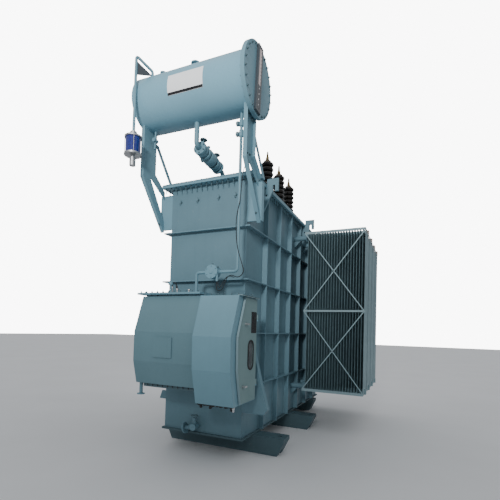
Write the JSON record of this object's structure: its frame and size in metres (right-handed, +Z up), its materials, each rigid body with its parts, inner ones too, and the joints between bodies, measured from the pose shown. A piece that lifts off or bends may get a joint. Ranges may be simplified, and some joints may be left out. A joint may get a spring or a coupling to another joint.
{
  "type": "oil-filled power transformer with on-load tap changer and conservator",
  "caption": "Grey-blue oil-filled power transformer with conservator drum, tap changer box, porcelain bushings and finned radiators on skids.",
  "frame": {"origin": "on the ground under the middle of the front skid", "axes": "+Z up, +Y from the tap changer end towards the rear of the tank, +X to the right seen from the tap changer end"},
  "size_m": [3.77, 5.062, 5.192],
  "materials": {
    "tank_paint": "satin",
    "front_paint": "satin",
    "name_plate_paint": "satin",
    "dark_rubber": "matte",
    "clear_glass": "gloss",
    "gel_blue": "gloss",
    "porcelain": "gloss",
    "brass": "satin",
    "bare_steel": "satin"
  },
  "bodies": {
    "transformer": {"base_plate": "tank_paint", "breather_caps": "bare_steel", "breather_gel_glass": "gel_blue", "breather_oil_cup": "clear_glass", "breather_pipe": "tank_paint", "bushing_caps": "bare_steel", "bushing_insulators": "porcelain", "bushing_terminals": "brass", "bushing_turrets": "tank_paint", "changer_cover": "front_paint", "changer_drain": "tank_paint", "changer_neck": "front_paint", "changer_pipe": "tank_paint", "changer_relay": "tank_paint", "changer_tank": "front_paint", "conservator_cover": "front_paint", "conservator_fittings": "front_paint", "conservator_flange": "front_paint", "conservator_head": "front_paint", "conservator_shell": "front_paint", "coupling_flange": "front_paint", "drain_valve": "tank_paint", "drive_box": "front_paint", "gas_relay": "tank_paint", "handwheels": "tank_paint", "jacking_brackets": "tank_paint", "level_gauge_frame": "bare_steel", "level_gauge_glass": "clear_glass", "lifting_lugs": "tank_paint", "line_valves": "tank_paint", "name_plate": "name_plate_paint", "radiator_bracing": "tank_paint", "radiator_left_1": "tank_paint", "radiator_left_2": "tank_paint", "radiator_left_3": "tank_paint", "radiator_left_4": "tank_paint", "radiator_right_1": "tank_paint", "radiator_right_2": "tank_paint", "radiator_right_3": "tank_paint", "radiator_right_4": "tank_paint", "radiator_stubs": "tank_paint", "relay_pipes": "tank_paint", "side_ribs": "tank_paint", "signal_cables": "dark_rubber", "skid_front": "tank_paint", "skid_middle": "tank_paint", "skid_rear": "tank_paint", "support_braces": "front_paint", "support_ears": "front_paint", "support_left": "front_paint", "support_right": "front_paint", "tank_bands": "tank_paint", "tank_cover": "tank_paint", "tank_rim": "tank_paint", "tank_shell": "tank_paint"},
    "door": {"drive_door": "front_paint", "door_window": "clear_glass", "window_frame": "dark_rubber", "door_plate": "name_plate_paint", "door_handles": "bare_steel"}
  },
  "joints": [
    {"name": "drive_door_hinge", "type": "hinge", "parent": "transformer", "child": "door", "pos_m": [0.813, -0.567, 1.4], "axis": [0, 0, 1], "range_deg": [0, 110]}
  ]
}
